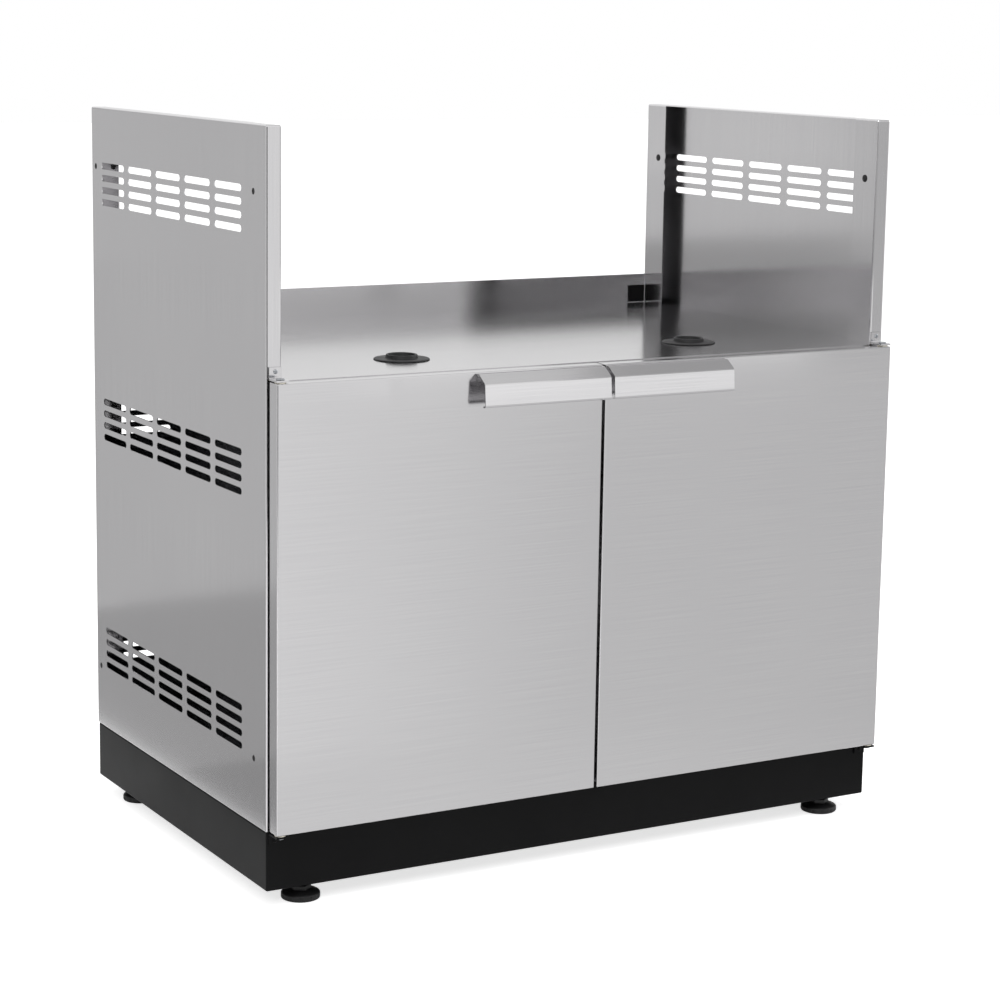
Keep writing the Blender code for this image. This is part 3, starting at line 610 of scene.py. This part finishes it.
def makeStud(values):
    core, crest, pitch = values["core"], values["crest"], values["pitch"]
    outline = [
        *cornerPoints(core, values["bottom"], values["bottomEdge"]),
        *cornerPoints(core, values["top"], values["topEdge"]),
    ]
    rod = turnPiece(outline, values["segments"])

    # one turn's section: a plane stood up beside the core, narrowed towards its crest
    root = core - values["threadRoot"]
    height = values["bottom"] + values["threadStart"] + pitch / 2
    bpy.ops.object.select_all(action="DESELECT")
    bpy.ops.mesh.primitive_plane_add(size=1, rotation=(math.pi / 2, 0, 0))
    thread = bpy.context.object
    bpy.ops.object.transform_apply(location=True, rotation=True, scale=True)
    bpy.ops.object.mode_set(mode="EDIT")
    bpy.ops.mesh.select_all(action="SELECT")
    bpy.ops.mesh.delete(type="ONLY_FACE")
    bpy.ops.mesh.select_all(action="SELECT")
    bpy.ops.transform.resize(value=(crest - root, 1, pitch * values["rootShare"]))
    bpy.ops.transform.translate(value=(middleOf(root, crest), 0, height))
    selectPoints(thread, lambda point: point.x > core)
    bpy.ops.transform.resize(value=(1, 1, values["crestShare"]))
    bpy.ops.object.mode_set(mode="OBJECT")
    coil = thread.modifiers.new("thread", "SCREW")
    coil.axis = "Z"
    coil.screw_offset = pitch
    coil.iterations = values["turns"]
    coil.steps = coil.render_steps = values["stepsPerTurn"]
    bpy.ops.object.modifier_apply(modifier=coil.name)
    bpy.ops.object.mode_set(mode="EDIT")
    bpy.ops.mesh.select_all(action="SELECT")
    bpy.ops.mesh.remove_doubles(threshold=values["weld"])
    bpy.ops.mesh.fill_holes(sides=4)
    bpy.ops.mesh.select_all(action="SELECT")
    bpy.ops.mesh.normals_make_consistent(inside=False)
    bpy.ops.object.mode_set(mode="OBJECT")
    rod = joinPieces(rod, [thread])
    rod.data.materials.append(materials["zinc"])
    smoothPiece(rod)
    return rod


padPattern, studPattern = makeFootPad(footPad), makeStud(stud)
for corner in corners:
    middle = middleOf(*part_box(corner + "_foot_pad"))
    place = (middle.x, middle.y, 0)
    body = corner + "_foot"
    setCopy(
        padPattern, corner + "_fluted_pad", place, (0, 0, 1), body,
        stands=body + "_pad",
    )
    setCopy(
        studPattern, corner + "_threaded_stud", place, (0, 0, 1), body,
        stands=body + "_stud",
    )
bpy.data.objects.remove(padPattern, do_unlink=True)
bpy.data.objects.remove(studPattern, do_unlink=True)
print("levelling feet made")

# Pan head screw, M5 with a cross recess, and the blind rivet's domed head with its punched core
headSeat = ((-0.0002, 0.00005), (0, 0.0002))
screwHead = {
    "segments": 36,
    "radius": 0.0045,
    "height": 0.0023,
    "domeShares": ((1, 0.30), (0.93, 0.62), (0.74, 0.88), (0.42, 1)),
    "recess": 0.0046,
    "recessWidth": 0.0010,
    "recessFloorShare": 0.6,
}
rivetHead = {
    "segments": 32,
    "radius": 0.0040,
    "height": 0.0014,
    "domeShares": ((0.97, 0.36), (0.82, 0.70), (0.56, 0.93)),
    "core": 0.0011,
    "coreEdge": ((0.0003, 0), (0, -0.0002)),
    "coreDepth": 0.0006,
    "coreFloorShare": 0.94,
}


def makeScrewHead(values):
    radius, height = values["radius"], values["height"]
    outline = [
        *cornerPoints(radius, 0, headSeat),
        *domePoints(radius, height, values["domeShares"]),
    ]
    head = turnPiece(outline, values["segments"])
    length, width = values["recess"], values["recessWidth"]
    for size in ((length, width, height), (width, length, height)):
        bpy.ops.object.select_all(action="DESELECT")
        bpy.ops.mesh.primitive_cube_add(size=1, location=(0, 0, height), scale=size)
        bpy.ops.object.transform_apply(location=True, rotation=True, scale=True)
        cutter = bpy.context.object
        bpy.ops.object.mode_set(mode="EDIT")
        selectPoints(cutter, lambda point: point.z < height)
        floorShare = values["recessFloorShare"]
        bpy.ops.transform.resize(value=(floorShare, floorShare, 1))
        bpy.ops.object.mode_set(mode="OBJECT")
        cutWith(head, cutter)
    smoothPiece(head)
    return head


def makeRivetHead(values):
    radius, height, core = values["radius"], values["height"], values["core"]
    outline = [
        *cornerPoints(radius, 0, headSeat),
        *domePoints(radius, height, values["domeShares"]),
        *cornerPoints(core, height, values["coreEdge"]),
        (core * values["coreFloorShare"], height - values["coreDepth"]),
    ]
    head = turnPiece(outline, values["segments"])
    smoothPiece(head)
    return head


def givenFinish(pattern, finish):
    pattern.data.materials.clear()
    pattern.data.materials.append(materials[finish])
    return pattern


# Where they sit, each measured from the edges of the sheet that it holds; a stretch makes a
# smaller head of the same pattern
fixings = {
    "sheet": 0.0012,
    "backScrewHeights": (0.17, 0.345, 0.52),
    "backScrewInset": 0.0080,
    "backScrewStretch": (0.9, 0.9, 0.9),
    "floorScrewDepths": (-0.165, 0.020, 0.205),
    "floorScrewInset": 0.0100,
    "cleatRivets": 4,
    "cleatRivetRise": 0.0100,
    "hingeScrewInset": 0.0052,
    "hingeLeaf": 0.0020,
    "hingeScrewStretch": (0.62, 0.62, 0.5),
    "catchScrewReach": 0.0165,
    "catchScrewStretch": (0.7, 0.7, 0.7),
    "handleRivetShares": (0.12, 0.50, 0.88),
    "handleRivetDrop": 0.0125,
    "handleSheet": 0.0015,
    "handleRivetStretch": (0.75, 0.75, 0.7),
}
screwPattern = givenFinish(makeScrewHead(screwHead), "zinc")
rivetPattern = givenFinish(makeRivetHead(rivetHead), "zinc")


def setZincCopy(pattern, name, place, facing, body="cabinet", stretch=(1, 1, 1)):
    setCopy(pattern, name, place, facing, body, stretch)


def fixCarcass(side, sign, values):
    inward = (-sign, 0, 0)
    backHigh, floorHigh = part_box("back_panel")[1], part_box("floor_panel")[1]
    for number, height in enumerate(values["backScrewHeights"]):
        place = (
            sign * (backHigh.x - values["sheet"]),
            backHigh.y - values["backScrewInset"],
            height,
        )
        name = "%s_back_panel_screw_%d" % (side, number)
        setZincCopy(screwPattern, name, place, inward, stretch=values["backScrewStretch"])
    for number, depth in enumerate(values["floorScrewDepths"]):
        place = (sign * (floorHigh.x - values["floorScrewInset"]), depth, floorHigh.z)
        setZincCopy(screwPattern, "%s_floor_screw_%d" % (side, number), place, (0, 0, 1))
    low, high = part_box(side + "_deck_cleat")
    for number in range(values["cleatRivets"]):
        place = (
            sign * (max(abs(low.x), abs(high.x)) - values["sheet"]),
            low.y + (high.y - low.y) * (number + 0.5) / values["cleatRivets"],
            low.z + values["cleatRivetRise"],
        )
        setZincCopy(rivetPattern, "%s_cleat_rivet_%d" % (side, number), place, inward)


def fixDoorFittings(side, sign, values):
    low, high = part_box(side + "_top_hinge_leaf")
    place = (
        middleOf(low.x, high.x),
        high.y - values["hingeLeaf"],
        high.z - values["hingeScrewInset"],
    )
    name = side + "_top_hinge_screw"
    setZincCopy(screwPattern, name, place, (0, -1, 0), stretch=values["hingeScrewStretch"])
    low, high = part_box(side + "_catch")
    middle = middleOf(low, high)
    for way in (-1, 1):
        place = (middle.x + way * values["catchScrewReach"], middle.y, low.z)
        name = "%s_catch_screw_%s" % (side, "inner" if way * sign < 0 else "outer")
        setZincCopy(screwPattern, name, place, (0, 0, -1), stretch=values["catchScrewStretch"])
    low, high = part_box(side + "_door_handle")
    for number, share in enumerate(values["handleRivetShares"]):
        place = (
            low.x + (high.x - low.x) * share,
            high.y - values["handleSheet"],
            high.z - values["handleRivetDrop"],
        )
        name = "%s_handle_rivet_%d" % (side, number)
        stretch = values["handleRivetStretch"]
        setZincCopy(rivetPattern, name, place, (0, -1, 0), side + "_door", stretch)


def fixBottomHinge(pattern, side, values):
    low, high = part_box(side + "_bottom_hinge_leaf")
    place = (
        middleOf(low.x, high.x),
        high.y - values["hingeLeaf"],
        low.z + values["hingeScrewInset"],
    )
    setCopy(
        pattern, side + "_bottom_hinge_screw", place, (0, -1, 0), "cabinet",
        values["hingeScrewStretch"],
    )


for side, sign in sides.items():
    fixCarcass(side, sign, fixings)
    fixDoorFittings(side, sign, fixings)
blackScrew = givenFinish(screwPattern, "powder coat")
for side in sides:
    fixBottomHinge(blackScrew, side, fixings)
bpy.data.objects.remove(screwPattern, do_unlink=True)
bpy.data.objects.remove(rivetPattern, do_unlink=True)
print("screws and rivets made")

# Plugs of black nylon in the holes that join this cabinet to the next: sunk flush in the outer
# sheet, domed on the inner lips
joiningPlug = {
    "segments": 32,
    "radius": 0.0037,
    "rim": 0.0048,
    "flushSteps": ((-0.0005, -0.0040), (-0.0002, -0.0026), (0, -0.0006), (-0.0003, -0.0002)),
    "flushMiddleShare": 0.6,
    "flushMiddleDepth": 0.0004,
    "stemSteps": ((-0.0005, -0.0034), (-0.0002, -0.0022), (-0.0001, 0.00005)),
    "rimSteps": ((0, 0.00005), (0, 0.0005)),
    "domeHeight": 0.0014,
    "domeShoulder": 0.0010,
    "domeShoulderShare": 0.86,
    "domeTopShare": 0.45,
    "highHole": 0.8538,
    "lowHole": 0.1788,
    "outerHoles": (-0.217, 0.283),
    "lipHoles": (-0.228, 0.267),
    "outerFace": 0.4450,
    "lipFace": 0.4255,
}


def makePlugs(values):
    radius, rim = values["radius"], values["rim"]
    flushOutline = [
        *cornerPoints(radius, 0, values["flushSteps"]),
        (radius * values["flushMiddleShare"], -values["flushMiddleDepth"]),
    ]
    domedOutline = [
        *cornerPoints(radius, 0, values["stemSteps"]),
        *cornerPoints(rim, 0, values["rimSteps"]),
        (rim * values["domeShoulderShare"], values["domeShoulder"]),
        (rim * values["domeTopShare"], values["domeHeight"]),
    ]
    flush = turnPiece(flushOutline, values["segments"])
    domed = turnPiece(domedOutline, values["segments"])
    for plug in (flush, domed):
        plug.data.materials.append(materials["polypropylene"])
        smoothPiece(plug)
    return flush, domed


flushPlug, domedPlug = makePlugs(joiningPlug)
for side, sign in sides.items():
    for level in ("high", "low"):
        height = joiningPlug[level + "Hole"]
        for end, depth in zip(("front", "rear"), joiningPlug["outerHoles"]):
            place = (sign * joiningPlug["outerFace"], depth, height)
            name = "_".join((side, level, end, "outer_plug"))
            setCopy(flushPlug, name, place, (sign, 0, 0), "cabinet")
        for end, depth in zip(("front", "rear"), joiningPlug["lipHoles"]):
            place = (sign * joiningPlug["lipFace"], depth, height)
            name = "_".join((side, level, end, "lip_plug"))
            setCopy(domedPlug, name, place, (-sign, 0, 0), "cabinet")
bpy.data.objects.remove(flushPlug, do_unlink=True)
bpy.data.objects.remove(domedPlug, do_unlink=True)
print("joining plugs made")

# Steel pole plate on each magnetic catch: a pressed plate with its two edges turned out
polePlate = {
    "length": 0.0380,
    "height": 0.0100,
    "base": 0.00012,
    "lift": 0.00003,
    "lip": 0.0003,
    "lipHeight": 0.0022,
    "softness": 0.00005,
}


def makePolePlate(values):
    # made facing up: x along the catch, y across it
    bpy.ops.object.select_all(action="DESELECT")
    bpy.ops.mesh.primitive_cube_add(
        size=1,
        location=(0, 0, values["base"] / 2 + values["lift"]),
        scale=(values["length"], values["height"], values["base"]),
    )
    plate = bpy.context.object
    bpy.ops.object.transform_apply(location=True, rotation=True, scale=True)
    edge = values["height"] / 2 - values["lipHeight"]
    bpy.ops.object.mode_set(mode="EDIT")
    for place in (-edge, edge):
        bpy.ops.mesh.select_all(action="SELECT")
        bpy.ops.mesh.bisect(plane_co=(0, place, 0), plane_no=(0, 1, 0))
    bpy.ops.mesh.select_mode(type="FACE")
    bpy.ops.mesh.select_all(action="DESELECT")
    bpy.ops.object.mode_set(mode="OBJECT")
    for face in plate.data.polygons:
        face.select = face.normal.z > flatNormal and abs(face.center.y) > edge
    bpy.ops.object.mode_set(mode="EDIT")
    bpy.ops.mesh.extrude_region_move(TRANSFORM_OT_translate={"value": (0, 0, values["lip"])})
    bpy.ops.object.mode_set(mode="OBJECT")
    softenEdges(plate, values["softness"])
    plate.data.materials.append(materials["zinc"])
    smoothPiece(plate)
    return plate


platePattern = makePolePlate(polePlate)
for side in sides:
    low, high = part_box(side + "_catch")
    place = (middleOf(low.x, high.x), low.y, middleOf(low.z, high.z))
    setZincCopy(platePattern, side + "_catch_pole_plate", place, (0, -1, 0))
bpy.data.objects.remove(platePattern, do_unlink=True)
print("catch plates made")

# Floor, the cards that the steel mirrors, and the lamps
floorPaper = {
    "size": 40,
    "colour": "#f2f2f2",
    "roughness": 0.8,
    "glow": 0.7,
    "mirroredGlow": 0.2,
}
black, white = "#000000", "#ffffff"


def makeFloor(values):
    bpy.ops.mesh.primitive_plane_add(size=values["size"])
    floor = bpy.context.object
    floor.name = "floor"
    material, tree, shader = startMaterial("paleFloorPaper")[:3]
    shader.inputs["Base Color"].default_value = toLinear(values["colour"])
    shader.inputs["Roughness"].default_value = values["roughness"]
    # the paper glows so that it reads white to the camera, and less in what the steel mirrors
    path = addNode(tree, "ShaderNodeLightPath")
    mirrored = addNode(
        tree,
        "ShaderNodeMath",
        {"operation": "MULTIPLY", 1: values["mirroredGlow"]},
        {0: path.outputs["Is Glossy Ray"]},
    )
    glow = addNode(
        tree,
        "ShaderNodeMath",
        {"operation": "MULTIPLY_ADD", 1: values["glow"]},
        {0: path.outputs["Is Camera Ray"], 2: mirrored.outputs["Value"]},
    )
    tree.links.new(glow.outputs["Value"], shader.inputs["Emission Strength"])
    shader.inputs["Emission Color"].default_value = toLinear(white)
    floor.data.materials.append(material)


# Each card is a grey sheet that only the steel sees: its middle, width, height, the way it
# faces, and its brightness, which may run to another one at its far end along x
toFront, toRear, upwards, downwards = (0, -1, 0), (0, 1, 0), (0, 0, 1), (0, 0, -1)
toCabinet, toLeftFlange = (0.54, 0.84, 0), (-0.848, 0.53, 0)
cards = {
    "leftPanelCard": {
        "middle": (-1.75, 1.3, 1.05), "size": (2.0, 2.1), "faces": toFront,
        "grey": 0.58,
    },
    "leftFarGroundCard": {
        "middle": (-1.505, 0.80, 0.01), "size": (1.89, 1.0), "faces": upwards,
        "grey": 0.42,
    },
    "leftNearGroundCard": {
        "middle": (-1.505, 0.00, 0.01), "size": (1.89, 0.6), "faces": upwards,
        "grey": 0.34,
    },
    "towerUpperCard": {
        "middle": (-0.40, 1.3, 0.69), "size": (0.7, 0.14), "faces": toFront,
        "grey": 0.66,
    },
    "farTowerCard": {
        "middle": (-1.30, 2.5, 0.70), "size": (1.3, 0.36), "faces": toFront,
        "grey": 0.72,
    },
    "risingCard": {
        "middle": (-1.35, 2.5, 1.12), "size": (1.2, 0.44), "faces": toFront,
        "grey": 0.12,
    },
    "towerLowerCard": {
        "middle": (-0.40, 1.3, 0.33), "size": (0.7, 0.6), "faces": toFront,
        "grey": 0.38,
    },
    "farRearCard": {
        "middle": (3.2, 6.0, 1.5), "size": (9.0, 3.0), "faces": toFront,
        "grey": 0.84,
    },
    "leftDoorCard": {
        "middle": (-0.055, -0.8, 0.285), "size": (0.79, 0.55), "faces": toRear,
        "grey": 0.99, "farGrey": 0.70,
    },
    "rightDoorCard": {
        "middle": (0.78, -0.8, 0.285), "size": (0.88, 0.55), "faces": toRear,
        "grey": 0.70, "farGrey": 0.64,
    },
    "nearGroundCard": {
        "middle": (0.35, -0.55, 0.01), "size": (1.7, 0.5), "faces": upwards,
        "grey": 0.86, "farGrey": 0.58,
    },
    "flangeCard": {
        "middle": (-0.275, -0.60, 0.80), "size": (0.30, 0.44), "faces": toLeftFlange,
        "grey": 0.92,
    },
    "handleCard": {
        "middle": (0.33, -0.8, 0.615), "size": (0.70, 0.10), "faces": toRear,
        "grey": 1.12,
    },
    "upstandCard": {
        "middle": (0.48, -0.8, 0.79), "size": (0.46, 0.24), "faces": toRear,
        "grey": 0.60, "farGrey": 0.44,
    },
    "rightFlangeCard": {
        "middle": (0.92, -0.8, 0.78), "size": (0.40, 0.43), "faces": toRear,
        "grey": 0.56,
    },
    "frontGroundCard": {
        "middle": (2.0, -2.58, 0.01), "size": (5.0, 3.56), "faces": upwards,
        "grey": 0.60,
    },
    "cameraSideCard": {
        "middle": (-1.00, -2.35, 0.70), "size": (1.3, 1.4), "faces": toCabinet,
        "grey": 0.02,
    },
    "cameraSideFarCard": {
        "middle": (-1.92, -1.757, 0.70), "size": (0.9, 1.4), "faces": toCabinet,
        "grey": 0.36,
    },
    "leftFrontCard": {
        "middle": (-2.00, -1.3, 0.8), "size": (2.0, 1.6), "faces": toRear,
        "grey": 0.72,
    },
    "nearCeilingCard": {
        "middle": (-0.4, 0.2, 4.2), "size": (5.2, 6.0), "faces": downwards,
        "grey": 0.75,
    },
    "farCeilingCard": {
        "middle": (5.2, 0.2, 4.2), "size": (6.0, 6.0), "faces": downwards,
        "grey": 0.45,
    },
}


def makeCard(name, values):
    bpy.ops.mesh.primitive_plane_add(size=1, location=values["middle"])
    card = bpy.context.object
    card.name = name
    card.scale = (*values["size"], 1)
    card.rotation_euler = Vector(values["faces"]).to_track_quat("Z", "Y").to_euler()
    material, tree, shader, place = startMaterial(name)
    shader.inputs["Base Color"].default_value = toLinear(black)
    shader.inputs["Specular IOR Level"].default_value = 0
    shader.inputs["Emission Color"].default_value = toLinear(white)
    shader.inputs["Emission Strength"].default_value = values["grey"]
    if "farGrey" in values:
        axes = addNode(tree, "ShaderNodeSeparateXYZ", {}, {"Vector": place})
        ends = (values["grey"], values["farGrey"])
        if card.matrix_basis.to_3x3().col[0].x < 0:
            ends = ends[::-1]
        along = addNode(
            tree,
            "ShaderNodeMapRange",
            {"From Min": -0.5, "From Max": 0.5, "To Min": ends[0], "To Max": ends[1]},
            {"Value": axes.outputs["X"]},
        )
        tree.links.new(along.outputs["Result"], shader.inputs["Emission Strength"])
    card.data.materials.append(material)
    card.visible_camera = False
    card.visible_diffuse = False
    card.visible_shadow = False
    card.visible_transmission = False


lampTarget = (0, 0, 0.4)
lamps = {
    "overheadSoftbox": {"place": (0.2, -0.6, 3.2), "size": 2.6, "power": 45, "mirrored": False},
    "frontLeftSoftbox": {"place": (-2.6, -3.2, 2.8), "size": 1.6, "power": 40, "mirrored": True},
    "rightSoftbox": {"place": (3.4, -0.8, 2.2), "size": 1.6, "power": 25, "mirrored": True},
}


def makeLamp(name, values):
    data = bpy.data.lights.new(name, "AREA")
    data.shape = "SQUARE"
    data.size = values["size"]
    data.energy = values["power"]
    lamp = bpy.data.objects.new(name, data)
    bpy.context.scene.collection.objects.link(lamp)
    lamp.location = values["place"]
    lamp.visible_glossy = values["mirrored"]
    aim = Vector(lampTarget) - Vector(values["place"])
    lamp.rotation_euler = aim.to_track_quat("-Z", "Y").to_euler()


worldFill = 0.55  # what the white surroundings give to dull surfaces; the steel mirrors them whole


def makeWorld(fill):
    world = bpy.data.worlds.new("whiteStudio")
    bpy.context.scene.world = world
    world.use_nodes = True
    tree = world.node_tree
    tree.nodes.clear()
    path = addNode(tree, "ShaderNodeLightPath")
    first = addNode(
        tree,
        "ShaderNodeMath",
        {"operation": "MAXIMUM"},
        {0: path.outputs["Is Camera Ray"], 1: path.outputs["Is Glossy Ray"]},
    )
    seen = addNode(
        tree,
        "ShaderNodeMath",
        {"operation": "MAXIMUM"},
        {0: first.outputs["Value"], 1: path.outputs["Is Transmission Ray"]},
    )
    strength = addNode(
        tree,
        "ShaderNodeMapRange",
        {"To Min": fill, "To Max": 1},
        {"Value": seen.outputs["Value"]},
    )
    background = addNode(
        tree,
        "ShaderNodeBackground",
        {"Color": toLinear(white)},
        {"Strength": strength.outputs["Result"]},
    )
    addNode(tree, "ShaderNodeOutputWorld", {}, {"Surface": background.outputs["Background"]})


makeFloor(floorPaper)
for name, values in cards.items():
    makeCard(name, values)
for name, values in lamps.items():
    makeLamp(name, values)
makeWorld(worldFill)
print("studio ready")

# The photograph's viewpoint, found by matching the cabinet's edges
viewpoint = {
    "place": (-1.6854, -2.9634, 1.0593),
    "turnDegrees": 29.800,
    "tiltDegrees": 9.737,
    "rollDegrees": 0.878,
    "lensPerFrame": 2.601,
    "shift": -0.04,
}


def makeCamera(values):
    data = bpy.data.cameras.new("photoCamera")
    camera = bpy.data.objects.new("photoCamera", data)
    bpy.context.scene.collection.objects.link(camera)
    camera.location = values["place"]
    turn, tilt = math.radians(values["turnDegrees"]), math.radians(values["tiltDegrees"])
    level = math.cos(tilt)
    ahead = Vector((math.sin(turn) * level, math.cos(turn) * level, -math.sin(tilt)))
    aim = ahead.to_track_quat("-Z", "Y")
    roll = Quaternion((0, 0, 1), math.radians(values["rollDegrees"]))
    camera.rotation_euler = (aim @ roll).to_euler()
    data.lens = values["lensPerFrame"] * data.sensor_width
    data.shift_y = values["shift"]
    bpy.context.scene.camera = camera


makeCamera(viewpoint)
bpy.context.scene.view_settings.view_transform = "Standard"
